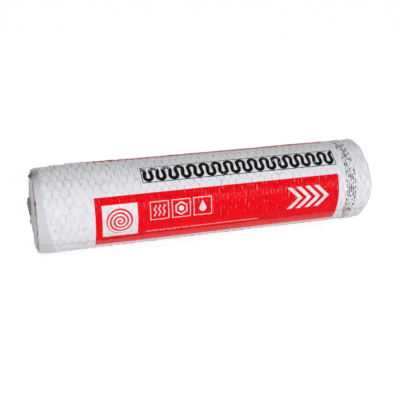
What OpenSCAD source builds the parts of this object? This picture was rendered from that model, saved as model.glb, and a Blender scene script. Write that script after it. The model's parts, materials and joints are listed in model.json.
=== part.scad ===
// Roll of stone-wool insulation mat, lying on its side in its packing film.
// The roll's axis runs along X, Z is up, and the origin is on the floor under the middle of the roll.

/* [Roll] */
// Width of the mat, which is the length of the roll
mat_width = 1200; // [300:50:1500]
// Diameter of the packed roll, over the film
roll_d = 295; // [200:5:700]
// Thickness that one turn of the mat takes up in the roll
turn_pitch = 34; // [20:1:100]
// Diameter of the hole left in the middle of the roll
bore_d = 50; // [20:5:80]
// Radius that the film presses the soft outer edges of the mat to
edge_r = 20; // [4:1:40]

/* [Turns on the ends] */
// Width of the seam between one turn and the next
seam_width = 3; // [1:0.5:5]
// Depth of that seam
seam_depth = 8; // [2:1:20]

/* [Packing film] */
// Thickness of the film, with its overlaps
film_t = 0.5; // [0.2:0.1:2]
// Room between the mat and the film, where the wire netting lies
netting_room = 0.6; // [0.3:0.1:2]
// Diameter of the hole that the shrunk film leaves in each end
film_hole_d = 100; // [90:5:160]

/* [Hidden] */
$fn = 96;

roll_r = roll_d / 2;
bore_r = bore_d / 2;
film_inner_r = roll_r - film_t;
wool_r = film_inner_r - netting_room;
wool_half = mat_width / 2;
film_inner_half = wool_half + netting_room;
film_half = film_inner_half + film_t;

// The seam starts inside the bore and ends outside the roll, each by its own width, to open into both
seam_start_r = bore_r - seam_width;
seam_end_r = wool_r + seam_width;
seam_turns = (seam_end_r - seam_start_r) / turn_pitch;
seam_steps_per_turn = 24;
seam_steps = ceil(seam_turns * seam_steps_per_turn);

// A point of the seam's spiral, step counted from the bore, offset sideways by half a seam
function seam_point(step, offset) =
    let (turns = seam_turns * step / seam_steps,
         radius = seam_start_r + turns * turn_pitch + offset)
    radius * [cos(360 * turns), sin(360 * turns)];

module seam_outline() {
    inner_side = [for (step = [0 : seam_steps]) seam_point(step, -seam_width / 2)];
    outer_side = [for (step = [seam_steps : -1 : 0]) seam_point(step, seam_width / 2)];
    polygon(concat(inner_side, outer_side));
}

// Half of the roll's lengthwise section: a bar from the axis outwards, with both outer corners round
module bar_section(radius, half_length, corner_r) {
    translate([0, corner_r - half_length])
        square([radius, 2 * (half_length - corner_r)]);
    translate([0, -half_length])
        square([radius - corner_r, 2 * half_length]);
    for (side = [-1, 1])
        translate([radius - corner_r, side * (half_length - corner_r)])
            circle(r = corner_r);
}

// A hole of that radius along the axis, through a section of that half length
module hole_section(radius, half_length) {
    translate([0, -2 * half_length])
        square([radius, 4 * half_length]);
}

// Lays what was turned about Z along X, on the floor
module lay_down() {
    translate([0, 0, roll_r])
        rotate([0, 90, 0])
            children();
}

// The mat, rolled up: one body of wool with its bore, and the seam of its turns in both ends
module wool_roll() {
    color("darkkhaki")
        lay_down()
            difference() {
                rotate_extrude()
                    difference() {
                        bar_section(wool_r, wool_half, edge_r);
                        hole_section(bore_r, wool_half);
                    }
                for (end_z = [-wool_half - seam_depth, wool_half - seam_depth])
                    translate([0, 0, end_z])
                        linear_extrude(2 * seam_depth)
                            seam_outline();
            }
}

// The film: a sleeve round the mat, shrunk over both ends as far as a round hole
module film_wrap() {
    color("whitesmoke")
        lay_down()
            rotate_extrude()
                difference() {
                    bar_section(roll_r, film_half, edge_r + netting_room + film_t);
                    bar_section(film_inner_r, film_inner_half, edge_r + netting_room);
                    hole_section(film_hole_d / 2, film_half);
                }
}

wool_roll();
film_wrap();
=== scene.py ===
"""Looks of a roll of wired stone-wool mat in printed packing film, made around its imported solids."""

import json
import math

import bpy
import numpy as np
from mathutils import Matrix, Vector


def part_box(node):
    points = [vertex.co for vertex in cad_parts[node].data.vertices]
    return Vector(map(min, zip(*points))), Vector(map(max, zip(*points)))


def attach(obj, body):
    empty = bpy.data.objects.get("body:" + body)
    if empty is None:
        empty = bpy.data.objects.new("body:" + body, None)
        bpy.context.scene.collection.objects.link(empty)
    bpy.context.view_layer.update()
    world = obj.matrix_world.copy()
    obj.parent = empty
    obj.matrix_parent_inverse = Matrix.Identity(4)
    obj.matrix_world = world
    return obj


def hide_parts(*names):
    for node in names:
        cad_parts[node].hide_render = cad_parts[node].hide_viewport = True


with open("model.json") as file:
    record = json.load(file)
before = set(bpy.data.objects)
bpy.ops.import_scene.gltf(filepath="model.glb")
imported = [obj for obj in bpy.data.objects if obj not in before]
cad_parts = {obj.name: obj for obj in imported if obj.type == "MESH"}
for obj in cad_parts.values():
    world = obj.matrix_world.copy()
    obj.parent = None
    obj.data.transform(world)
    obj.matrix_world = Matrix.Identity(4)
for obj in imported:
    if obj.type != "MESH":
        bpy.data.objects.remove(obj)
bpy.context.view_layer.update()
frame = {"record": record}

# The mat: stone wool about 40 mm thick, wound up with a hole left along the axis.
# The packing presses the cut edges of its turns to a shallow dome on each end. In the middle, where nothing
# holds them, they swell out again, with a deep seam between one turn and the next.
wool_low, wool_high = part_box("wool_roll")
axis_height = (wool_high.z + wool_low.z) / 2
film_low, film_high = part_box("film_wrap")
film_half = (film_high.x - film_low.x) / 2
film_radius = (film_high.z - film_low.z) / 2
bore_mount = next(mount for mount in frame["record"]["mounts"] if mount["name"] == "bore")
bore_radius = bore_mount["dims"]["r_mm"] / 1000
left, right = -1, 1
rim_back = {left: 0.015, right: 0.006}
dome_rise = {left: 0.011, right: 0.011}
dome_power = 2.2
shoulder_radius = 0.008
hole_middle_radius = {left: 0.038, right: 0.046}
hole_rise = {left: 0.009, right: 0.002}
hole_least_radius = bore_radius + 0.006
hole_wander = 0.0050
hole_ragged = 0.0022
turn_pitch = 0.034
seam_half_width = 0.0045
seam_depth = 0.011
seam_start_radius = bore_radius - 0.003
mouth_radius = 0.007
wool_swell = {left: 0.0135, right: 0.0090}
upper_swell_share = 0.22
layer_height = 0.0003
tuft_height = 0.0005
swell_height = 0.0012
bore_swell_height = 0.0018
shut_share = 0.9
shut_angle = math.radians(70)
shut_spread = 0.75
wool_under_lip = 0.0075
wool_under_barrel = 0.0065
wool_steps_around = 320
sunk_depth = 0.0052
sunk_angle = math.radians(105)
sunk_spread = 0.55
sunk_from = -0.445
sunk_to = -0.575
sunk_inner_radius = 0.070
sunk_outer_radius = 0.135


def random_relief(along, around, turns, seed):
    """Smooth random relief from -1 to 1 with one swell per unit of both, closing after that many turns."""
    knot_rows = 128
    knots = np.random.default_rng(seed).uniform(-1, 1, (knot_rows, turns))
    low_along = np.floor(along).astype(int)
    low_around = np.floor(around).astype(int)
    part_along = along - low_along
    part_around = around - low_around
    ease_along = part_along * part_along * (3 - 2 * part_along)
    ease_around = part_around * part_around * (3 - 2 * part_around)
    near = knots[low_along % knot_rows, low_around % turns]
    next_along = knots[(low_along + 1) % knot_rows, low_around % turns]
    next_around = knots[low_along % knot_rows, (low_around + 1) % turns]
    across = knots[(low_along + 1) % knot_rows, (low_around + 1) % turns]
    first = near + (next_along - near) * ease_along
    second = next_around + (across - next_around) * ease_along
    return first + (second - first) * ease_around


def ease(value, start, end):
    """Runs smoothly from 0 at start to 1 at end."""
    share = np.clip((value - start) / (end - start), 0, 1)
    return share * share * (3 - 2 * share)


def hump(value, middle, width):
    """A bell of height 1 over that middle."""
    return np.exp(-(((value - middle) / width) ** 2))


def end_reach(side, radius):
    """How far from the roll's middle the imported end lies, at that radius."""
    return film_half - rim_back[side] + dome_rise[side] * (1 - (radius / film_radius) ** dome_power)


def hole_radius(side, angle):
    """Radius of the uneven hole that the packing leaves in an end, at that angle round the roll."""
    turns = angle / (2 * math.pi)
    wander = hole_wander * random_relief(20 + 7 * side, turns * 9, 9, 19)
    ragged = hole_ragged * random_relief(40 + 7 * side, turns * 31, 31, 22)
    even = hole_middle_radius[side] + hole_rise[side] * np.sin(angle)
    return np.maximum(even + wander + ragged, hole_least_radius)


def seam_distance(radius, angle):
    """How far a point of an end lies from the spiral seam between two turns."""
    turned = (-math.pi / 2 - angle) / (2 * math.pi)
    turns_out = (radius - seam_start_radius) / turn_pitch - turned
    return np.abs(turns_out - np.round(turns_out)) * turn_pitch


def sunk(along, radius, angle):
    """How far the top of the left end has sunk towards the axis, less and less towards the hole."""
    past_top = (angle - sunk_angle + math.pi) % (2 * math.pi) - math.pi
    near_end = ease(along, sunk_from, sunk_to)
    near_rim = ease(radius, sunk_inner_radius, sunk_outer_radius)
    return sunk_depth * hump(past_top, 0, sunk_spread) * near_end * near_rim


def round_the_axis(along, radius, angle):
    """Points at that angle round the roll, counted from the front upwards over the top."""
    across = -radius * np.cos(angle)
    up = axis_height + radius * np.sin(angle)
    return np.stack([along + 0 * angle, across, up], axis=-1)


def new_piece(name, points, faces):
    """A smooth mesh of those points and four-sided faces, as an object of the scene."""
    mesh = bpy.data.meshes.new(name)
    mesh.from_pydata(points.reshape(-1, 3).tolist(), [], faces.tolist(), shade_flat=False)
    piece = bpy.data.objects.new(name, mesh)
    bpy.context.scene.collection.objects.link(piece)
    return piece


def woven_grid(name, points, close_rows, close_columns):
    """A mesh with a quad between each four neighbours of a grid of points, and those quads."""
    rows, columns = points.shape[:2]
    index = np.arange(rows * columns).reshape(rows, columns)
    if close_rows:
        index = np.concatenate([index, index[:1]])
    if close_columns:
        index = np.concatenate([index, index[:, :1]], axis=1)
    corners = [index[:-1, :-1], index[1:, :-1], index[1:, 1:], index[:-1, 1:]]
    quads = np.stack(corners, axis=-1).reshape(-1, 4)
    return new_piece(name, points, quads), quads


def wool_section(side):
    """Half of the mat's section: from the middle of the bore round one end to the barrel's middle."""
    coarse_steps = 14
    fine_steps = 18
    barrel_steps = 24
    fine_bore = 0.08
    fine_radius = 0.066
    mouth_out = bore_radius + mouth_radius
    edge_out = film_radius - wool_under_barrel - shoulder_radius
    mouth_end = end_reach(side, mouth_out) - wool_under_lip
    mouth_turn = np.linspace(0, math.pi / 2, 7, endpoint=False)
    end_out = np.concatenate([
        np.linspace(mouth_out, fine_radius, 34, endpoint=False),
        np.linspace(fine_radius, edge_out, 14, endpoint=False),
    ])
    edge_turn = np.linspace(0, math.pi / 2, 6)
    barrel_end = end_reach(side, edge_out) - wool_under_lip - shoulder_radius
    along = np.concatenate([
        np.linspace(0, mouth_end - fine_bore, coarse_steps, endpoint=False),
        np.linspace(mouth_end - fine_bore, mouth_end - mouth_radius, fine_steps, endpoint=False),
        mouth_end - mouth_radius * (1 - np.sin(mouth_turn)),
        end_reach(side, end_out) - wool_under_lip,
        barrel_end + shoulder_radius * np.cos(edge_turn),
        np.linspace(barrel_end, 0, barrel_steps, endpoint=False)[1:],
    ])
    out = np.concatenate([
        np.full(coarse_steps + fine_steps, bore_radius),
        bore_radius + mouth_radius * (1 - np.cos(mouth_turn)),
        end_out,
        edge_out + shoulder_radius * np.sin(edge_turn),
        np.full(barrel_steps - 1, edge_out + shoulder_radius),
    ])
    return along * side, out


wool_along, wool_out = [
    np.concatenate([from_right, from_left[:0:-1]])[:, None]
    for from_right, from_left in zip(wool_section(right), wool_section(left))
]
wool_angle = np.linspace(0, 2 * math.pi, wool_steps_around, endpoint=False)[None, :]
wool_turns = wool_angle / (2 * math.pi)
wool_side = np.where(wool_along < 0, left, right)
hole_edge = np.where(wool_side == left, hole_radius(left, wool_angle), hole_radius(right, wool_angle))
wool_on_end = ease(np.abs(wool_along), film_half - 0.030, film_half - 0.012)
seen = wool_on_end * (1 - ease(wool_out, hole_edge - 0.008, hole_edge + 0.006))
layers = random_relief(wool_out / 0.0035 + wool_side * 9, wool_turns * 64, 64, 1)
tufts = random_relief(wool_out / 0.009 + wool_side * 9, wool_turns * 32, 32, 2)
swells = random_relief(wool_out / 0.03 + wool_side * 9, wool_turns * 9, 9, 3)
seam = hump(seam_distance(wool_out, wool_angle), 0, seam_half_width)
left_swell = wool_swell[left] * (1 + upper_swell_share * np.sin(wool_angle))
pressed_shut = np.where(wool_side == left, shut_share * hump(wool_angle, shut_angle, shut_spread), 0)
end_swell = np.where(wool_side == left, left_swell, wool_swell[right])
end_swell = end_swell - seam_depth * seam * (1 - pressed_shut)
end_swell = end_swell + layer_height * layers + tuft_height * tufts + swell_height * swells
near_bore = 1 - ease(wool_out, bore_radius, bore_radius + mouth_radius)
bore_swell = bore_swell_height * random_relief(wool_along / 0.012 + 60, wool_turns * 32, 32, 4)
wool_points = round_the_axis(
    wool_along + wool_side * seen * end_swell,
    wool_out + near_bore * bore_swell - sunk(wool_along, wool_out, wool_angle),
    wool_angle + 0 * wool_along,
)
wool, _ = woven_grid("stone_wool_roll", wool_points, True, True)


def new_material(name):
    """A material with nodes, its node tree and its shader."""
    material = bpy.data.materials.new(name)
    material.use_nodes = True
    tree = material.node_tree
    return material, tree, tree.nodes["Principled BSDF"]


# These functions work on the node tree at hand, which is that of the material being made
def plug(node, inputs):
    """Links inputs of a node to values that come from other nodes, or sets them to plain ones."""
    for name, value in inputs.items():
        if isinstance(value, bpy.types.NodeSocket):
            tree.links.new(value, node.inputs[name])
        else:
            node.inputs[name].default_value = value


def new_node(kind, inputs, **settings):
    """The outputs of a new node with those settings and inputs."""
    node = tree.nodes.new("ShaderNode" + kind)
    for name, setting in settings.items():
        setattr(node, name, setting)
    plug(node, inputs)
    return node.outputs


def maths(operation, *values):
    """The result of a sum."""
    return new_node("Math", dict(enumerate(values)), operation=operation)[0]


def noise(vector, scale, detail, roughness=0.5):
    """Cloudy noise from 0 to 1."""
    inputs = {"Vector": vector, "Scale": scale, "Detail": detail, "Roughness": roughness}
    return new_node("TexNoise", inputs)["Fac"]


def stretched(vector, scale):
    """A vector scaled by its own amount each way."""
    return new_node("VectorMath", {0: vector, 1: scale}, operation="MULTIPLY")[0]


def eased(value, start, end, low=0.0, high=1.0):
    """Runs smoothly from low, where value is start, to high, where it is end."""
    inputs = {"Value": value, "From Min": start, "From Max": end, "To Min": low, "To Max": high}
    return new_node("MapRange", inputs, interpolation_type="SMOOTHSTEP")["Result"]


def mixed(share, first, second):
    """A colour that runs from first to second."""
    return new_node("Mix", {"Factor": share, "A": first, "B": second}, data_type="RGBA")["Result"]


def bumped(height, distance, under=None):
    """A normal bent by a height from 0 to 1, which stands for that distance in metres."""
    inputs = {"Height": height, "Distance": distance}
    if under is not None:
        inputs["Normal"] = under
    return new_node("Bump", inputs)["Normal"]


wool_material, tree, shader = new_material("stone_wool")
place = new_node("TexCoord", {})["Object"]
fibre_cloud = noise(place, 260, 6, 0.7)
layer_cloud = noise(stretched(place, (40, 120, 120)), 1, 4, 0.6)
patch_cloud = noise(place, 22, 3)
wool_dark = (0.17, 0.140, 0.088, 1)
wool_mid = (0.30, 0.265, 0.185, 1)
wool_pale = (0.56, 0.52, 0.40, 1)
tone = mixed(eased(layer_cloud, 0.3, 0.65), wool_dark, wool_mid)
tone = mixed(eased(fibre_cloud, 0.52, 0.72), tone, wool_pale)
tone = mixed(eased(patch_cloud, 0.35, 0.7, 0.0, 0.35), tone, wool_mid)
fibre_height = maths("ADD", fibre_cloud, layer_cloud)
plug(shader, {
    "Base Color": tone,
    "Roughness": 0.95,
    "Specular IOR Level": 0.15,
    "Sheen Weight": 0.25,
    "Sheen Roughness": 0.6,
    "Normal": bumped(fibre_height, 0.002),
})
wool.data.materials.append(wool_material)
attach(wool, "root")
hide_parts("wool_roll")

# The netting: hexagonal mesh of galvanised wire with twisted joins, sewn to the outer face of the mat.
# It stops short of the left edge of the mat and reaches the right one, where its selvedge wire shows in the
# seam between the turns.
cell_width = 0.0265
cell_rows = 30
cell_count = 43
slant_rise = 0.0055
netting_start = -0.571
netting_radius = film_radius - 0.0060
wire_radius = 0.0005
twist_radius = 1.6 * wire_radius
row_pitch = 2 * math.pi * film_radius / cell_rows
lap_angle = math.radians(-59)
netting_skew = 0.012
wide_length = 0.070
wide_drift_along = 0.0030
wide_drift_around = 0.0032
near_length = 0.024
near_drift = 0.0021


def netting_drift(along, turns):
    """How far the stretched netting has wandered along the roll and round it, in metres."""
    wide_along = random_relief(along / wide_length + 30, turns * 13, 13, 13)
    wide_around = random_relief(along / wide_length + 30, turns * 13, 13, 14)
    near_along = random_relief(along / near_length + 40, turns * 38, 38, 24)
    near_around = random_relief(along / near_length + 40, turns * 38, 38, 25)
    drift_along = wide_drift_along * wide_along + near_drift * near_along
    drift_around = wide_drift_around * wide_around + near_drift * near_around + netting_skew * along
    return drift_along, drift_around


def wire_pieces(name, starts, ends, radius):
    """Four-sided straight wires from each start to its end, as one mesh."""
    run = ends - starts
    run = run / np.linalg.norm(run, axis=-1, keepdims=True)
    out = starts - np.stack([starts[:, 0], 0 * starts[:, 0], axis_height + 0 * starts[:, 0]], axis=-1)
    first = np.cross(run, out)
    first = first / np.linalg.norm(first, axis=-1, keepdims=True)
    second = np.cross(run, first)
    corners = np.stack([first, second, -first, -second], axis=1) * np.reshape(radius, (-1, 1, 1))
    points = np.stack([starts[:, None] + corners, ends[:, None] + corners], axis=1)
    base = 8 * np.arange(len(starts))[:, None, None]
    ring = np.arange(4)
    following = (ring + 1) % 4
    quads = base + np.stack([ring, following, following + 4, ring + 4], axis=-1)[None]
    caps = base + np.array([[3, 2, 1, 0], [4, 5, 6, 7]])[None]
    faces = np.concatenate([quads, caps], axis=1).reshape(-1, 4)
    return new_piece(name, points, faces)


half_cell = np.arange(2 * cell_count + 1)[None, :]
wire_row = np.arange(cell_rows)[:, None]
twisted = (half_cell + wire_row) % 2 == 1
peak = np.where(twisted, 1, -1)
knot_along = netting_start + half_cell * cell_width / 2
knot_turns = (wire_row + slant_rise / row_pitch * peak) / cell_rows
knot_drift_along, knot_drift_around = netting_drift(knot_along, knot_turns)
knot_angle = lap_angle + 2 * math.pi * knot_turns + knot_drift_around / film_radius
knots = round_the_axis(
    knot_along + knot_drift_along,
    netting_radius - sunk(knot_along, netting_radius, knot_angle),
    knot_angle,
)
twist_starts = knots[twisted]
twist_ends = np.roll(knots, -1, axis=0)[twisted]
slant_starts = knots[:, :-1].reshape(-1, 3)
slant_ends = knots[:, 1:].reshape(-1, 3)

# The selvedge follows the spiral seam out from the bore, a little way under the swollen wool
selvedge_depth = 0.0025
selvedge_wave = 0.0005
selvedge_wave_turns = 60
selvedge_turns = np.linspace(0.15, 0.62, 60)
selvedge_out = seam_start_radius + turn_pitch * selvedge_turns
selvedge_angle = -math.pi / 2 - 2 * math.pi * selvedge_turns
selvedge_along = end_reach(right, selvedge_out) - selvedge_depth
selvedge_along = selvedge_along + selvedge_wave * np.sin(selvedge_turns * selvedge_wave_turns)
selvedge = round_the_axis(selvedge_along, selvedge_out, selvedge_angle)
wire_starts = np.concatenate([twist_starts, slant_starts, selvedge[:-1]])
wire_ends = np.concatenate([twist_ends, slant_ends, selvedge[1:]])
wire_radii = np.concatenate([
    np.full(len(twist_starts), twist_radius),
    np.full(len(slant_starts), wire_radius),
    np.full(len(selvedge) - 1, twist_radius),
])
netting = wire_pieces("wire_netting", wire_starts, wire_ends, wire_radii)
wire_material, tree, shader = new_material("galvanised_wire")
place = new_node("TexCoord", {})["Object"]
zinc_cloud = noise(place, 300, 3)
zinc_dark = (0.34, 0.35, 0.36, 1)
zinc_pale = (0.58, 0.59, 0.60, 1)
zinc_tone = mixed(eased(zinc_cloud, 0.35, 0.65), zinc_dark, zinc_pale)
zinc_roughness = eased(zinc_cloud, 0.3, 0.7, 0.30, 0.50)
plug(shader, {"Base Color": zinc_tone, "Roughness": zinc_roughness, "Metallic": 1.0})
netting.data.materials.append(wire_material)
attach(netting, "root")

# The packing film: one sheet of white polyethylene, wrapped round the roll with a lap along the lower front
# and shrunk by heat. Over the netting it lies in shallow pillows with a crease along each wire, and on the
# ends it is gathered into folds round a hole with a beaded edge.
lap_width_steps = 19
columns_per_cell = 6
steps_per_row = 8
lip_steps = 36
lip_crowding = 1.4
shoulder_steps = 8
margin_steps = 4
pillow_height = 0.0011
pillow_edge = 0.0035
pillow_sink = 0.0009
slant_crease = 0.7
slant_lost_on_top = 0.8
swell_columns = 64
edge_top = -0.570
edge_sag = 0.0115
edge_sag_power = 1.9
edge_fade = 0.014
slack_share = 0.3
loose_share = 0.2
loose_top_share = 2.5
lap_press = 0.6
bulge_height = 0.0008
ripple_height = 0.00022
crumple_lift = 0.0005
crumple_height = 0.0021


def film_end_section(side):
    """Points of the film over one end, from the hole out over the lip and the shoulder to the barrel."""
    lip_share = np.linspace(0, 1, lip_steps, endpoint=False) ** lip_crowding
    shoulder_out = film_radius - shoulder_radius
    lip_out = hole_middle_radius[side] + (shoulder_out - hole_middle_radius[side]) * lip_share
    turn = np.linspace(math.pi / 2, 0, shoulder_steps, endpoint=False)
    barrel_end = end_reach(side, shoulder_out) - shoulder_radius
    along = np.concatenate([end_reach(side, lip_out), barrel_end + shoulder_radius * np.sin(turn)])
    out = np.concatenate([lip_out, shoulder_out + shoulder_radius * np.cos(turn)])
    to_hole = np.concatenate([(1 - lip_share) ** 2, np.zeros(shoulder_steps)])
    return along * side, out, to_hole, barrel_end * side


left_along, left_out, left_to_hole, left_barrel = film_end_section(left)
right_along, right_out, right_to_hole, right_barrel = film_end_section(right)
margin_along = np.linspace(left_barrel, netting_start, margin_steps, endpoint=False)
netted_along = np.arange(netting_start, right_barrel, cell_width / columns_per_cell)
barrel_along = np.concatenate([margin_along, netted_along])
film_along = np.concatenate([left_along, barrel_along, right_along[::-1]])
film_out = np.concatenate([left_out, np.full(len(barrel_along), film_radius), right_out[::-1]])
to_hole = np.concatenate([left_to_hole, 0 * barrel_along, right_to_hole[::-1]])[:, None]
step_along = np.gradient(film_along)
step_out = np.gradient(film_out)
step_length = np.hypot(step_along, step_out)
lean_along = (-step_out / step_length)[:, None]
lean_out = (step_along / step_length)[:, None]
film_path = np.concatenate([[0], np.cumsum(np.hypot(np.diff(film_along), np.diff(film_out)))])
film_path = (film_path - film_path[len(left_along)] + left_barrel)[:, None]
film_along = film_along[:, None]
film_out = film_out[:, None]

# The pillows: rows of hexagons round the roll, with the twisted joins running round it
row_count = cell_rows * steps_per_row + lap_width_steps + 1
row_place = (np.arange(row_count) / steps_per_row)[None, :]
around_turns = row_place / cell_rows
row_number = np.floor(row_place).astype(int)
row_part = row_place - row_number
cell_place = (film_path - netting_start) / cell_width
cell_part = cell_place - np.floor(cell_place)
slant = (1 - 4 * np.abs(cell_part - 0.5)) * np.where(row_number % 2 == 0, 1, -1)
row_angle = lap_angle + 2 * math.pi * around_turns
netting_edge = edge_top + edge_sag * (1 - np.sin(row_angle)) ** edge_sag_power
netted = ease(film_path, netting_edge, netting_edge + edge_fade)
netted = netted * (1 - ease(film_path, right_barrel - 0.006, right_barrel + 0.010))
wire_shift = slant_rise / row_pitch * slant * (1 - 2 * row_part) * netted
cell_height = row_pitch - 2 * slant_rise * slant
slant_cosine = math.cos(math.atan(2 * slant_rise / (cell_width / 2)))
to_twist = (1 - slant) / 4 * cell_width
to_low_slant = row_part * cell_height * slant_cosine
to_high_slant = (1 - row_part) * cell_height * slant_cosine
on_top = ease(np.sin(row_angle), 0.45, 0.85)
slant_depth = slant_crease * (1 - slant_lost_on_top * on_top)
pillow = 1 - np.exp(-to_twist / pillow_edge)
pillow = pillow * (1 - slant_depth * np.exp(-to_low_slant / pillow_edge))
pillow = pillow * (1 - slant_depth * np.exp(-to_high_slant / pillow_edge))
cell_number = np.where(row_number % 2 == 0, np.round(cell_place), np.floor(cell_place)).astype(int)
cell_swell = np.random.default_rng(11).uniform(0.35, 1.25, (cell_rows, swell_columns))
swell = cell_swell[row_number % cell_rows, cell_number % swell_columns]
slack = random_relief(film_path / 0.11 + 30, around_turns * 8, 8, 12)
loose_left = (loose_share + loose_top_share * on_top) * (1 - ease(film_path, -0.46, -0.18))
bulge = random_relief(film_path / 0.20 + 30, around_turns * 5, 5, 15)
ripple = random_relief(film_path / 0.009 + 30, around_turns * 26, 26, 16)
under_lap = ease(row_place % cell_rows, -0.5, 0.5) * (1 - ease(row_place % cell_rows, 2.0, 2.6))
puff = pillow_height * (1 + slack_share * slack + loose_left) * swell * (1 - lap_press * under_lap)
rise = netted * (puff * pillow - pillow_sink)
rise = rise + bulge_height * bulge + ripple_height * ripple * (1 - 0.5 * netted)
near_right = ease(film_path, 0.515, 0.545) * (1 - ease(film_path, 0.595, 0.625))
crumple = random_relief(film_path / 0.017 + 30, around_turns * 26, 26, 26)
rise = rise + near_right * (crumple_lift + crumple_height * crumple)

# The stitches that sew the netting to the mat: lines round the roll, with a dimple at each stitch
stitch_pitch_along = 0.095
stitch_count = 12
stitch_lines = 16
stitch_first = -0.530
stitch_turn = 0.29
stitch_size = 0.007
stitch_depth = 0.0024
stitch_pitch_around = 2 * math.pi * film_radius / stitch_count
stitch_along = (film_path - stitch_first) / stitch_pitch_along
stitch_around = around_turns * stitch_count + stitch_turn
off_along = (stitch_along - np.round(stitch_along)) * stitch_pitch_along
off_around = (stitch_around - np.round(stitch_around)) * stitch_pitch_around
stitch_pull = np.random.default_rng(17).uniform(0.3, 1, (stitch_lines, stitch_count))
stitch_line = np.round(stitch_along).astype(int) % stitch_lines
stitch_number = np.round(stitch_around).astype(int) % stitch_count
dimple = hump(np.hypot(off_along, off_around), 0, stitch_size)
stitch = netted * stitch_pull[stitch_line, stitch_number] * dimple
rise = rise - stitch_depth * stitch

# The gathers on the ends: folds that grow towards the hole, over the swellings and seams of the turns
wander_along, wander_around = netting_drift(film_path, around_turns)
film_angle = lap_angle + 2 * math.pi * (around_turns + wire_shift / cell_rows)
film_angle = film_angle + netted * wander_around / film_radius
fold_count = 34
fold_share = {left: 0.30, right: 0.8}
fold_growth = 0.045
crimp_height = 0.0005
seam_sag_depth = 0.0040
bead_height = 0.0018
bead_drop = 0.0035
for end in (left, right):
    draw = np.random.default_rng(20 + end)
    on_this_end = np.sign(film_path) == end
    for fold in range(fold_count):
        fold_angle = 2 * math.pi * (fold + draw.uniform(-0.35, 0.35)) / fold_count
        fold_height = draw.uniform(0.0012, 0.0055)
        fold_width = draw.uniform(0.0022, 0.0046)
        fold_start = draw.uniform(0.085, 0.142)
        fold_lean = draw.uniform(-1.5, 1.5)
        apart = film_angle - fold_angle - fold_lean * (film_radius - film_out)
        apart = (apart + math.pi) % (2 * math.pi) - math.pi
        grown = ease(fold_start - film_out, 0, fold_growth)
        fold_rise = fold_share[end] * fold_height * grown * hump(apart * film_out, 0, fold_width)
        rise = rise + on_this_end * fold_rise
on_end = ease(np.abs(lean_along), 0.35, 0.8)
crimp = random_relief(film_path / 0.02 + 60, around_turns * 90, 90, 18)
seam_sag = hump(seam_distance(film_out, film_angle), 0, 0.009) * (1 - ease(film_out, 0.100, 0.124))
even_hole = np.where(film_path < 0, hole_middle_radius[left], hole_middle_radius[right])
past_hole = film_out - even_hole
bead = bead_height * hump(past_hole, 0.0040, 0.0028) - bead_drop * hump(past_hole, 0, 0.0015)
rise = rise + on_end * (crimp_height * crimp - seam_sag_depth * seam_sag) + bead

# The left end is packed more roughly: a ridge where the netting starts, a dented corner and a stray tuck
ridge_height = 0.0012
ditch_depth = 0.0007
corner_dent_depth = 0.0052
low_dent_depth = 0.0034
top_dent_depth = 0.0030
tuck_height = 0.0085
puffed_lip_height = 0.0055
low_puff_height = 0.0045
turned = (film_angle + math.pi) % (2 * math.pi) - math.pi
on_left = film_path < 0


def swelling(where, middle, length, degrees, spread):
    """A bell of height 1 on the film, round a middle on its way and at so many degrees round the roll."""
    return hump(where, middle, length) * hump(turned, math.radians(degrees), spread)


ridge_place = netting_edge + 0.002 + 0.003 * random_relief(10, around_turns * 7, 7, 23)
ridge = hump(film_path, ridge_place, 0.005)
ditch = hump(film_path, ridge_place - 0.014, 0.008)
corner_dent = swelling(film_path, -0.578, 0.017, 80, 0.25)
low_dent = swelling(film_path, -0.582, 0.014, -62, 0.35)
top_dent = swelling(film_path, -0.591, 0.010, 108, 0.30)
tuck = swelling(film_path, -0.6000, 0.005, 84, 0.13)
puffed_lip = swelling(film_out, 0.044, 0.018, -50, 0.70) * on_left
low_puff = swelling(film_out, 0.112, 0.024, -69, 0.50) * on_left
rise = rise + ridge_height * ridge - ditch_depth * ditch
rise = rise - corner_dent_depth * corner_dent - low_dent_depth * low_dent - top_dent_depth * top_dent
rise = rise + tuck_height * tuck + puffed_lip_height * puffed_lip + low_puff_height * low_puff

# The lap: the last stretch of the sheet lies on the first
lap_lift = 0.0007
lap_curl_height = 0.0006
lap_start = cell_rows * steps_per_row
row_index = np.arange(row_count)[None, :]
on_lap = ease(row_index, lap_start - 5, lap_start)
lap_edge = ease(row_index, lap_start + 4, lap_start + lap_width_steps)
lap_curl = 1 + random_relief(film_path / 0.035 + 50, around_turns, 3, 21)
rise = rise + lap_lift * on_lap + lap_curl_height * lap_edge * lap_curl * (1 - on_end)

# The right end leans out at the front, less where its rim is flattened, and both holes are uneven
rim_lean = 0.0075
rim_flat_depth = 0.0060
rim_flat = rim_flat_depth * hump(turned, math.radians(-34), 0.15) * ease(film_out, 0.09, 0.13)
rim_push = rim_lean * hump(turned, math.radians(5), 0.52) - rim_flat
rim_push = rim_push * ease(film_path, 0.50, 0.59)
hole_shift = np.where(on_left, hole_radius(left, film_angle), hole_radius(right, film_angle))
hole_shift = to_hole * (hole_shift - even_hole)
lip_out = film_out + hole_shift
lip_along = np.where(on_left, -end_reach(left, lip_out), end_reach(right, lip_out))
film_points = round_the_axis(
    np.where(to_hole > 0, lip_along, film_along) + lean_along * rise + netted * wander_along + rim_push,
    lip_out + lean_out * rise - sunk(film_along, film_out, film_angle),
    film_angle,
)
floor_gap = 0.0004
film_points[..., 2] = np.maximum(film_points[..., 2], floor_gap)
film, film_quads = woven_grid("packing_film", film_points, False, False)

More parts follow.
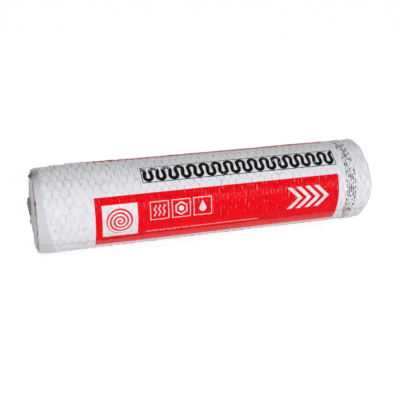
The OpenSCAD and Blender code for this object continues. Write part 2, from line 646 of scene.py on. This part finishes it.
# Two maps of the sheet, for its print and for the netting under it, and the marks that its colours follow
corner_order = film_quads.ravel()
print_place = np.stack([film_path + netted * wander_along, film_radius * film_angle], axis=-1)
print_corners = print_place.reshape(-1, 2)[corner_order]
on_outer_lap = np.repeat(film_quads[:, 0] % row_count >= lap_start, 4)
print_corners[:, 1] -= on_outer_lap * 2 * math.pi * film_radius
wire_place = np.stack([cell_place + 0 * row_place, row_place + wire_shift], axis=-1)
wire_corners = wire_place.reshape(-1, 2)[corner_order]
for map_name, corners in (("print_place", print_corners), ("wire_place", wire_corners)):
    layer = film.data.uv_layers.new(name=map_name)
    layer.data.foreach_set("uv", corners.astype(np.float32).ravel())
lap_share = (row_index >= lap_start) * (0.5 + 0.5 * (row_index - lap_start) / lap_width_steps)
marks = np.stack([netted + 0 * rise, stitch, lap_share + 0 * rise, corner_dent], axis=-1)
mark_layer = film.data.color_attributes.new("film_marks", "FLOAT_COLOR", "POINT")
mark_layer.data.foreach_set("color", marks.astype(np.float32).ravel())

film_material, tree, shader = new_material("printed_film")


def map_sides(map_name):
    """A map of the film as a vector, and its two coordinates."""
    vector = new_node("UVMap", {}, uv_map=map_name)["UV"]
    parts = new_node("SeparateXYZ", {0: vector})
    return vector, parts["X"], parts["Y"]


def summed(first, first_share, second, second_share):
    """Two values, each times its share, added up."""
    first_part = maths("MULTIPLY", first, first_share)
    second_part = maths("MULTIPLY", second, second_share)
    return maths("ADD", first_part, second_part)


def length_of(across, up):
    """The length of a vector in the plane of the print."""
    across_squared = maths("POWER", across, 2)
    up_squared = maths("POWER", up, 2)
    return maths("SQRT", maths("ADD", across_squared, up_squared))


def less(first, second):
    """The first value less the second."""
    return maths("SUBTRACT", first, second)


def gap(first, second):
    """How far two values lie apart."""
    return maths("ABSOLUTE", less(first, second))


def lacking(share):
    """What a share lacks of 1."""
    return less(1.0, share)


def grain(vector, scale, detail, roughness=0.5):
    """Noise on the film, with its own fineness along the roll and round it."""
    return noise(stretched(vector, (*scale, 1)), 1, detail, roughness)


def inked(distance, half_width, soft=0.0006):
    """1 where distance is under half_width, with a soft edge."""
    return eased(distance, half_width - soft, half_width + soft, 1.0, 0.0)


def both(*shares):
    """The product of several shares."""
    result = shares[0]
    for share in shares[1:]:
        result = maths("MULTIPLY", result, share)
    return result


def either(*shares):
    """The largest of several shares."""
    result = shares[0]
    for share in shares[1:]:
        result = maths("MAXIMUM", result, share)
    return result


def from_middle(across, up, middle):
    """Offsets from a point of the print."""
    return less(across, middle[0]), less(up, middle[1])


def far_side(across, up):
    """The larger of both offsets, which is a square's distance from its middle."""
    return maths("MAXIMUM", maths("ABSOLUTE", across), maths("ABSOLUTE", up))


def between(value, low, high, soft=0.0006):
    """1 where value lies from low to high, with soft edges."""
    return inked(gap(value, (low + high) / 2), (high - low) / 2, soft)


def block(across, up, low, high):
    """1 inside a rectangle with those two corners."""
    return both(between(across, low[0], high[0]), between(up, low[1], high[1]))


# The print: a red band along the roll, with signs in white and a black insulation hatch. It stands on the
# sheet twice, so that the second one comes over the back, and a red line runs along the foot of the lap
print_vector, print_across, print_round = map_sides("print_place")
print_repeat = 0.358
print_foot = -0.130
is_second = maths("GREATER_THAN", print_round, print_foot + print_repeat)
print_up = less(print_round, maths("MULTIPLY", is_second, print_repeat))
print_left = -0.400
print_right = 0.473
band_low = -0.119
band_high = 0.075
band = block(print_across, print_up, (print_left, band_low), (print_right, band_high))
lap_foot = film_radius * (lap_angle + 2 * math.pi)
foot_line_width = 0.010
foot_line_low = (-0.470, lap_foot - foot_line_width)
foot_line_high = (print_right, lap_foot + foot_line_width)
foot_line = block(print_across, print_round, foot_line_low, foot_line_high)

# A white tile with the turns of a roll in red
tile_middle = (-0.318, -0.012)
tile_half = 0.059
turns_pitch = 0.0130
turns_stroke = 0.0065
turns_radius = 0.0470
tile_across, tile_up = from_middle(print_across, print_up, tile_middle)
tile = inked(far_side(tile_across, tile_up), tile_half)
from_tile = length_of(tile_across, tile_up)
tile_turn = maths("DIVIDE", maths("ARCTAN2", tile_up, tile_across), 2 * math.pi)
turns_phase = less(maths("DIVIDE", from_tile, turns_pitch), tile_turn)
from_turn = maths("MULTIPLY", maths("PINGPONG", turns_phase, 0.5), turns_pitch)
turns = both(inked(from_turn, turns_stroke / 2), inked(from_tile, turns_radius))
tile = both(tile, lacking(turns))

# Three outlined signs: waves of heat, a hexagon of netting and a drop
sign_half = 0.031
sign_stroke = 0.0024
sign_up = 0.012
sign_middles = [(-0.185, sign_up), (-0.110, sign_up), (-0.035, sign_up)]
frames = []
sign_places = []
for sign_middle in sign_middles:
    sign_place = from_middle(print_across, print_up, sign_middle)
    sign_places.append(sign_place)
    frames.append(inked(gap(far_side(*sign_place), sign_half), sign_stroke / 2))
wave_across, wave_up = sign_places[0]
wave_pitch = 0.015
wave_length = 0.022
wave_reach = 0.0028
wave_stroke = 0.0042
wave_side = 0.0225
wave_top = 0.019
wave_turn = maths("MULTIPLY", wave_up, 2 * math.pi / wave_length)
wave_swing = maths("MULTIPLY", maths("SINE", wave_turn), wave_reach)
from_wave = maths("PINGPONG", maths("ADD", wave_across, wave_swing), wave_pitch / 2)
wave_room = block(wave_across, wave_up, (-wave_side, -wave_top), (wave_side, wave_top))
waves = both(inked(from_wave, wave_stroke / 2), wave_room)
hex_across, hex_up = sign_places[1]
hex_reach = 0.0185
hex_stroke = 0.0040
hex_dot = 0.0085
hex_cosine = 0.5
hex_sine = 0.866
hex_beside = maths("ABSOLUTE", hex_across)
hex_slant = summed(hex_beside, hex_cosine, maths("ABSOLUTE", hex_up), hex_sine)
from_hexagon = either(hex_slant, hex_beside)
hex_ring = inked(gap(from_hexagon, hex_reach), hex_stroke / 2)
hexagon = either(hex_ring, inked(from_hexagon, hex_dot))
drop_across, drop_up = sign_places[2]
drop_radius = 0.012
drop_low = 0.006
drop_tip = 0.0215
drop_neck = -0.0005
drop_cosine = 0.898
drop_sine = 0.44
drop_round = inked(length_of(drop_across, maths("ADD", drop_up, drop_low)), drop_radius)
below_tip = less(drop_up, drop_tip)
drop_side = summed(maths("ABSOLUTE", drop_across), drop_cosine, below_tip, drop_sine)
drop_point = both(inked(drop_side, 0.0), maths("GREATER_THAN", drop_up, drop_neck))
drop = either(drop_round, drop_point)

# Chevrons that show which way the mat unrolls, and a dashed line to cut the film along
chevron_pitch = 0.034
chevron_count = 4
chevron_start = 0.315
chevron_half = 0.040
chevron_middle = 0.002
chevron_across, chevron_up = from_middle(print_across, print_up, (chevron_start, chevron_middle))
chevron_place = maths("ADD", chevron_across, maths("ABSOLUTE", chevron_up))
past_chevron = less(chevron_place, chevron_pitch / 4)
from_chevron = maths("PINGPONG", past_chevron, chevron_pitch / 2)
chevrons = both(
    inked(from_chevron, chevron_pitch / 4),
    between(chevron_place, 0.0, chevron_count * chevron_pitch - chevron_pitch / 2),
    inked(maths("ABSOLUTE", chevron_up), chevron_half),
)
dash_up = -0.066
dash_left = -0.230
dash_right = 0.170
dash_pitch = 0.010
dash_length = 0.006
dash_stroke = 0.0030
dashes = both(
    inked(maths("PINGPONG", print_across, dash_pitch / 2), dash_length / 2),
    between(print_up, dash_up - dash_stroke / 2, dash_up + dash_stroke / 2),
    between(print_across, dash_left, dash_right),
)
white_signs = either(tile, waves, hexagon, drop, chevrons, dashes, *frames)

# The black hatch, as drawings show insulation, in a thin frame
hatch_pitch = 0.044
hatch_loops = 16
hatch_middle = 0.1415
hatch_loop = 0.0125
hatch_reach = 0.0105
hatch_stroke = 0.0130
hatch_frame = 0.031
hatch_frame_line = 0.0030
hatch_left = print_right - hatch_loops * hatch_pitch
hatch_across, hatch_up = from_middle(print_across, print_up, (hatch_left, hatch_middle))
folded = maths("PINGPONG", hatch_across, hatch_pitch / 2)
is_low = maths("LESS_THAN", hatch_up, 0.0)
unfolded = less(hatch_pitch / 2, maths("MULTIPLY", folded, 2.0))
folded = maths("ADD", folded, maths("MULTIPLY", is_low, unfolded))
level = less(maths("ABSOLUTE", hatch_up), hatch_reach)
line_angle = math.atan2(hatch_reach, hatch_pitch / 4)
line_angle = line_angle + math.asin(hatch_loop / math.hypot(hatch_pitch / 4, hatch_reach))
along_line = summed(folded, math.cos(line_angle), level, -math.sin(line_angle))
beside_line = summed(folded, math.sin(line_angle), level, math.cos(line_angle))
from_loop = length_of(folded, level)
on_line = maths("GREATER_THAN", along_line, 0.0)
line_instead = maths("MULTIPLY", on_line, less(beside_line, from_loop))
from_stroke = less(maths("ADD", from_loop, line_instead), hatch_loop)
hatch = both(
    inked(maths("ABSOLUTE", from_stroke), hatch_stroke / 2),
    between(print_across, hatch_left, print_right),
    between(print_up, hatch_middle - hatch_frame, hatch_middle + hatch_frame),
)
from_frame_middle = gap(print_across, (hatch_left + print_right) / 2)
past_frame = either(
    less(from_frame_middle, (print_right - hatch_left) / 2),
    less(maths("ABSOLUTE", hatch_up), hatch_frame),
)
hatch = either(hatch, inked(maths("ABSOLUTE", past_frame), hatch_frame_line / 2))

# The hatch is worn off in specks, most of all along its top at the left, where the paler specks are also a
# painted reflection of the light above
worn_and_sheen_left = -0.270
worn_and_sheen_right = -0.120
worn_and_sheen_fade = 0.030
rubbed_and_sheen_share = 0.8
wear_and_light_cloud = grain(print_vector, (260, 90), 3, 0.6)
rub_cloud = noise(print_vector, 9, 2)
rubbed_and_sheen = both(eased(wear_and_light_cloud, 0.56, 0.62), eased(rub_cloud, 0.56, 0.68))
worn_and_sheen_top = both(
    between(print_across, worn_and_sheen_left, worn_and_sheen_right, worn_and_sheen_fade),
    eased(print_up, 0.152, 0.166),
    eased(wear_and_light_cloud, 0.48, 0.58),
)
rubbed_and_sheen = either(rubbed_and_sheen, worn_and_sheen_top)
hatch = both(hatch, lacking(both(rubbed_and_sheen, rubbed_and_sheen_share)))

# A ring of dark dashes of random length near the right end
ring_left = 0.503
ring_lines = 5
ring_line_pitch = 0.0072
ring_line_width = 0.0050
ring_dash_pitch = 0.0100
ring_dash_shift = 0.37 * ring_dash_pitch
ring_line_start = 0.001
ring_across = less(print_across, ring_left)
ring_line = maths("FLOOR", maths("DIVIDE", ring_across, ring_line_pitch))
ring_shift = maths("MULTIPLY", ring_line, ring_dash_shift)
ring_round = maths("ADD", print_round, ring_shift)
ring_dash_number = maths("FLOOR", maths("DIVIDE", ring_round, ring_dash_pitch))
ring_place = new_node("CombineXYZ", {"X": ring_line, "Y": ring_dash_number})[0]
ring_random = new_node("TexWhiteNoise", {"Vector": ring_place}, noise_dimensions="2D")["Value"]
ring_dash = eased(ring_random, 0.10, 0.75, 0.0, ring_dash_pitch)
in_line = maths("FLOORED_MODULO", ring_across, ring_line_pitch)
in_dash = maths("FLOORED_MODULO", ring_round, ring_dash_pitch)
ring_ticks = both(
    between(in_line, ring_line_start, ring_line_start + ring_line_width),
    between(ring_across, 0.0, ring_lines * ring_line_pitch),
    maths("LESS_THAN", in_dash, ring_dash),
)

# The left rim has a worn red line, wide in one place, and two ragged smears of the same red. Their red is
# printed and darkened by painted shade, as they lie in the folds of the rim
rim_line_across = -0.5878
rim_wide_round = 0.077
rim_wide_half = 0.020
rim_wide_width = 0.0048
rim_cloud = grain(print_vector, (12, 30), 2)
rim_width = eased(rim_cloud, 0.36, 0.64, 0.0007, 0.0024)
from_wide = gap(print_round, rim_wide_round)
rim_width = either(rim_width, eased(from_wide, 0.0, rim_wide_half, rim_wide_width, 0.0))
past_rim = less(gap(print_across, rim_line_across), rim_width)
rim_line = inked(past_rim, 0.0, 0.0008)
rim_speck = eased(grain(print_vector, (420, 18), 2), 0.32, 0.48)
rim_tear = eased(grain(print_vector, (60, 150), 3), 0.3, 0.7, -0.004, 0.004)
rim_patches = [(-0.5960, 0.215, 0.040, 0.0075), (-0.5975, -0.106, 0.034, 0.0080)]
for patch_across, patch_round, patch_half, patch_reach in rim_patches:
    from_tuck = gap(print_across, patch_across)
    from_patch = gap(print_round, patch_round)
    patch_width = eased(from_patch, 0.3 * patch_half, patch_half, patch_reach, -0.0045)
    past_patch = less(maths("ADD", from_tuck, rim_tear), patch_width)
    patch = both(inked(past_patch, 0.0, 0.0012), inked(from_patch, patch_half))
    rim_line = either(rim_line, both(patch, rim_speck))

# The wires show through the film as grey lines, deepened by painted shade in the creases along them,
# with a wider painted shade round each wire. The stitches show as dark specks of painted shade in their
# dimples.
_, wire_cells, wire_rows = map_sides("wire_place")
wire_squash = 0.705
low_row = row_pitch * wire_squash
cell_apart = math.hypot(cell_width / 2, low_row)
tilt_across = cell_width / 2 / cell_apart
tilt_up = low_row / cell_apart
in_cell = maths("MULTIPLY", maths("PINGPONG", wire_cells, 0.5), cell_width)
row_fold = maths("PINGPONG", less(wire_rows, 0.5), 1.0)
in_row = maths("MULTIPLY", row_fold, low_row)
past_cell = less(cell_width / 2, in_cell)
past_row = less(low_row, in_row)
even_slant = less(cell_apart / 2, summed(in_cell, tilt_across, in_row, tilt_up))
odd_slant = less(cell_apart / 2, summed(past_cell, tilt_across, past_row, tilt_up))
in_even = maths("MINIMUM", past_cell, even_slant)
in_odd = maths("MINIMUM", in_cell, odd_slant)
from_wire = maths("MAXIMUM", in_even, in_odd)
is_even = maths("GREATER_THAN", in_even, in_odd)
from_twist = maths("ADD", in_cell, both(is_even, less(past_cell, in_cell)))
film_marks = new_node("VertexColor", {}, layer_name="film_marks")
mark_parts = new_node("SeparateColor", {"Color": film_marks["Color"]})
is_netted = mark_parts["Red"]
is_stitch = mark_parts["Green"]
press_cloud = noise(print_vector, 26, 2)
gap_cloud = noise(print_vector, 95, 2)
is_lap = eased(mark_parts["Blue"], 0.0, 0.4)
is_lap_edge = eased(mark_parts["Blue"], 0.972, 0.992)
wire_line = eased(from_wire, 0.0004, 0.0018, 1.0, 0.0)
twist_line = eased(from_twist, 0.0004, 0.0022, 1.0, 0.0)
wire_shade = eased(from_wire, 0.0, 0.0050, 1.0, 0.0)
pressed = both(
    eased(press_cloud, 0.32, 0.64, 0.25, 1.0),
    eased(gap_cloud, 0.34, 0.58, 0.15, 1.0),
    lacking(both(is_lap, 0.6)),
)
faded = eased(noise(print_vector, 13, 2), 0.40, 0.60, 0.30, 1.0)
faded = either(faded, eased(print_across, -0.42, -0.20))
over_top = both(eased(print_round, 0.08, 0.17), eased(print_round, 0.30, 0.40, 1.0, 0.0))
wire_dark = both(wire_line, eased(over_top, 0.0, 1.0, 0.32, 0.20))
twist_dark = both(twist_line, eased(over_top, 0.0, 1.0, 0.70, 1.10))
line_dark = both(
    maths("ADD", wire_dark, twist_dark),
    pressed,
    is_netted,
    eased(print_across, -0.45, -0.20, 0.66, 1.25),
    faded,
    eased(print_across, 0.50, 0.56, 1.0, 0.5),
)
shade_dark = both(
    wire_shade,
    is_netted,
    eased(print_across, -0.45, -0.20, 1.0, 0.45),
    faded,
    eased(press_cloud, 0.34, 0.62, 0.35, 1.35),
    eased(over_top, 0.0, 1.0, 1.0, 0.25),
)
# Painted shade in the stitch dimples, broken up by noise
stitch_shade = both(eased(is_stitch, 0.15, 0.80), eased(wear_and_light_cloud, 0.34, 0.56, 0.25, 1.0))
mottle = noise(print_vector, 34, 4, 0.6)

# Along the twists the film is drawn into creases, whose light and shade are painted: on the red a painted
# highlight streak beside a painted shade streak; over the top and near the right end, a painted shade
# streak.
streak_half = 0.0010
streak_soft = 0.0009
highlight_side = 0.0017
streak_cloud = grain(print_vector, (44, 44), 2)
streak_bend = eased(noise(print_vector, 28, 1), 0.3, 0.7, -0.0022, 0.0022)
even_share = eased(row_fold, 0.40, 0.85, 1.0, 0.0)
odd_share = eased(row_fold, 0.15, 0.60, 0.0, 1.0)
painted_highlight_streaks = []
painted_shade_streaks = []
for cell_shift, row_share in ((0.0, even_share), (0.5, odd_share)):
    in_turn = maths("FLOORED_MODULO", maths("ADD", wire_cells, cell_shift), 1.0)
    past_twist = maths("MULTIPLY", less(in_turn, 0.5), cell_width)
    past_twist = maths("ADD", past_twist, streak_bend)
    from_highlight = gap(past_twist, highlight_side)
    from_shade = gap(past_twist, -highlight_side)
    painted_highlight_streaks.append(both(inked(from_highlight, streak_half, streak_soft), row_share))
    painted_shade_streaks.append(both(inked(from_shade, streak_half, streak_soft), row_share))
# The painted streaks on the red are strongest towards the top of the band and to the right, where the lamps
# catch the creases
streak_room = both(
    eased(print_up, -0.060, 0.030, 0.15, 1.0),
    eased(print_across, -0.20, 0.15, 0.45, 1.0),
    lacking(is_lap),
    is_netted,
)
left_top = both(over_top, eased(print_across, -0.40, -0.15, 1.7, 1.0))
crease_room = either(left_top, eased(print_across, 0.47, 0.54))
crease_shades = both(either(*painted_shade_streaks), eased(streak_cloud, 0.33, 0.54))
crease_shade_on_white = both(crease_shades, crease_room, is_netted)
painted_highlight_streak = both(either(*painted_highlight_streaks), eased(streak_cloud, 0.48, 0.66), streak_room)
painted_shade_streak = both(crease_shades, streak_room)

# The colours, from the plain film through its inks to the painted highlights and the painted shade
film_white = (0.82, 0.832, 0.882, 1)
film_grey = (0.735, 0.744, 0.782, 1)
bare_grey = (0.655, 0.663, 0.703, 1)
lap_haze_and_reflection = (0.86, 0.84, 0.85, 1)
ink_red = (0.88, 0.001, 0.009, 1)
ink_deep_red = (0.72, 0.001, 0.006, 1)
ink_shadow_red = (0.30, 0.0005, 0.003, 1)
painted_highlight_red = (0.95, 0.36, 0.40, 1)
ink_black = (0.004, 0.004, 0.004, 1)
ink_grey = (0.10, 0.10, 0.105, 1)
rim_red_in_shade = (0.26, 0.022, 0.028, 1)
wool_shadow = (0.14, 0.10, 0.085, 1)
shadow_black = (0, 0, 0, 1)
shade_streak_share = 0.90
highlight_streak_share = 0.80
haze_and_reflection_share = 0.042
line_share = 0.29
shade_share = 0.07
crease_share = 0.20
stitch_shade_share = 0.34
lap_shade_share = 0.05
lap_edge_shade_share = 0.06
red_shadow_share = 0.6
plain_film = mixed(eased(mottle, 0.35, 0.75, 0.0, 0.7), film_white, film_grey)
plain_film = mixed(eased(is_netted, 0.05, 0.90), bare_grey, plain_film)
red_ink = mixed(eased(mottle, 0.45, 0.80, 0.0, 0.7), ink_red, ink_deep_red)
is_red = either(both(band, lacking(white_signs)), foot_line)
# Painted shade streaks and painted highlight streaks along the twists on the red
red_ink = mixed(both(painted_shade_streak, shade_streak_share), red_ink, ink_shadow_red)
red_ink = mixed(both(painted_highlight_streak, highlight_streak_share), red_ink, painted_highlight_red)
# Painted shade darkens the red of the second band where it comes over the top
second_band_top_shade = both(is_second, eased(print_round, 0.250, 0.300, 0.6, 0.0))
red_ink = mixed(second_band_top_shade, red_ink, ink_shadow_red)
film_tone = mixed(is_red, plain_film, red_ink)
film_tone = mixed(hatch, film_tone, ink_black)
film_tone = mixed(both(ring_ticks, eased(wear_and_light_cloud, 0.35, 0.5)), film_tone, ink_grey)
# The rim's printed red, darkened by painted shade
film_tone = mixed(rim_line, film_tone, rim_red_in_shade)
# A pale haze over the lap: partly the double layer of film, partly a painted reflection of the floor
film_tone = mixed(both(is_lap, haze_and_reflection_share), film_tone, lap_haze_and_reflection)
# Painted shade over the lap, deeper along its free edge
lap_shade = summed(is_lap, lap_shade_share, is_lap_edge, lap_edge_shade_share)
# Painted shade in the dented corner at the top of the left end, in streaks
corner_streak = grain(print_vector, (170, 25), 2)
corner_shade = both(film_marks["Alpha"], eased(corner_streak, 0.38, 0.60, 0.28, 0.72))
is_end = eased(maths("ABSOLUTE", print_across), 0.588, 0.602)
crush = grain(print_vector, (70, 45), 3, 0.55)
# On the ends, painted shade in the crumples, tinted brown where the wool shows through the film
crumple_shade_and_wool_tint = both(eased(crush, 0.36, 0.78, 0.0, 0.24), is_end)
film_tone = mixed(crumple_shade_and_wool_tint, film_tone, wool_shadow)
# Painted shade, mixed towards black: along the wires, in the creases, over the lap, in the stitch dimples
# and in the dented corner, less on the red
shadow = summed(line_dark, line_share, shade_dark, shade_share)
shadow = maths("ADD", shadow, both(crease_shade_on_white, crease_share))
shadow = both(shadow, eased(is_red, 0.0, 1.0, 1.0, red_shadow_share))
for further_shadow in (lap_shade, both(stitch_shade, stitch_shade_share), corner_shade):
    shadow = maths("ADD", shadow, further_shadow)
film_tone = mixed(shadow, film_tone, shadow_black)

# Fine wrinkles run round the roll, where the film has shrunk across the wires, and pleats run to the holes
wrinkle = grain(print_vector, (210, 22), 2)
wrinkle_cloud = grain(print_vector, (5, 14), 1)
wrinkle_room = eased(wrinkle_cloud, 0.36, 0.62, 0.25, 1.0)
pleat = grain(print_vector, (9, 150), 3, 0.55)
crinkle = grain(print_vector, (120, 90), 4, 0.55)
twist_ridge = eased(from_twist, 0.0, 0.0032, 1.0, 0.0)
film_reliefs = [
    (both(wrinkle, wrinkle_room, lacking(is_end)), 0.0024),
    (both(pleat, is_end), 0.0022),
    (both(crush, is_end), 0.0028),
    (crinkle, 0.0005),
    (lacking(both(wire_shade, is_netted)), 0.0004),
    (both(twist_ridge, is_netted), 0.0012),
]
film_bump = None
for relief, relief_height in film_reliefs:
    film_bump = bumped(relief, relief_height, film_bump)
film_roughness = eased(mottle, 0.3, 0.7, 0.12, 0.20)
plug(shader, {
    "Base Color": film_tone,
    "Roughness": film_roughness,
    "Specular IOR Level": 0.05,
    "Normal": film_bump,
})
film.data.materials.append(film_material)
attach(film, "root")
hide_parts("film_wrap")

# The floor, the lights and the camera: a plain white studio. Two softboxes stand low in front and a weaker
# one hangs above. The floor looks white, and it keeps the shadow of the roll.
floor_mesh = bpy.data.meshes.new("floor")
floor_reach = 12
floor_white = (0.95, 0.95, 0.95, 1)
floor_glow = 0.78
floor_shadow_tone = (0.52, 0.52, 0.52, 1)
floor_sides = [(-1, -1), (1, -1), (1, 1), (-1, 1)]
floor_corners = [(floor_reach * across, floor_reach * up, 0) for across, up in floor_sides]
floor_mesh.from_pydata(floor_corners, [], [(0, 1, 2, 3)])
floor = bpy.data.objects.new("floor", floor_mesh)
bpy.context.scene.collection.objects.link(floor)


def seen_rays():
    """1 for rays that show something to the camera, straight or in a mirror or through glass."""
    ray = new_node("LightPath", {})
    return either(ray["Is Camera Ray"], ray["Is Glossy Ray"], ray["Is Transmission Ray"])


floor_material, tree, shader = new_material("studio_floor")
plug(shader, {"Base Color": floor_white, "Roughness": 0.9, "Specular IOR Level": 0.0})
white_glow = new_node("Emission", {"Strength": floor_glow})[0]
shadow_catch = new_node("BsdfDiffuse", {"Color": floor_shadow_tone})[0]
seen_floor = new_node("AddShader", {0: white_glow, 1: shadow_catch})[0]
floor_mix = new_node("MixShader", {0: seen_rays(), 1: shader.outputs[0], 2: seen_floor})[0]
plug(tree.nodes["Material Output"], {"Surface": floor_mix})
floor_mesh.materials.append(floor_material)

world = bpy.data.worlds.new("studio")
bpy.context.scene.world = world
world.use_nodes = True
tree = world.node_tree
room_tint = (1.0, 0.98, 0.945, 1)
room_light = 0.42
wall_white = (1, 1, 1, 1)
wall_light = 1.0
seen_wall = seen_rays()
plug(tree.nodes["Background"], {
    "Color": mixed(seen_wall, room_tint, wall_white),
    "Strength": eased(seen_wall, 0, 1, room_light, wall_light),
})
cool_tint = (0.985, 0.99, 1.0)


def softbox(name, size, power, place, turn):
    """A rectangular soft light at that place, turned by those degrees from facing down."""
    data = bpy.data.lights.new(name, "AREA")
    data.shape = "RECTANGLE"
    data.size, data.size_y = size
    data.energy = power
    data.color = cool_tint
    light = bpy.data.objects.new(name, data)
    light.location = place
    light.rotation_euler = [math.radians(degrees) for degrees in turn]
    bpy.context.scene.collection.objects.link(light)


softbox("right_softbox", (1.0, 0.4), 20, (1.12, -2.51, 0.58), (81, 0, 22))
softbox("left_softbox", (0.9, 0.4), 16, (-1.15, -2.45, 0.20), (90, 0, -25))
softbox("top_softbox", (1.0, 0.6), 5.6, (-0.40, -0.95, 2.00), (0, 0, 0))

camera_data = bpy.data.cameras.new("camera")
camera_data.sensor_width = 36
camera_data.lens = 64.8
camera = bpy.data.objects.new("camera", camera_data)
camera.location = (-0.689, -2.3175, 1.056)
camera.rotation_euler = (math.radians(68.88), 0, math.radians(-16.52))
bpy.context.scene.collection.objects.link(camera)
bpy.context.scene.camera = camera
bpy.context.scene.view_settings.view_transform = "Standard"
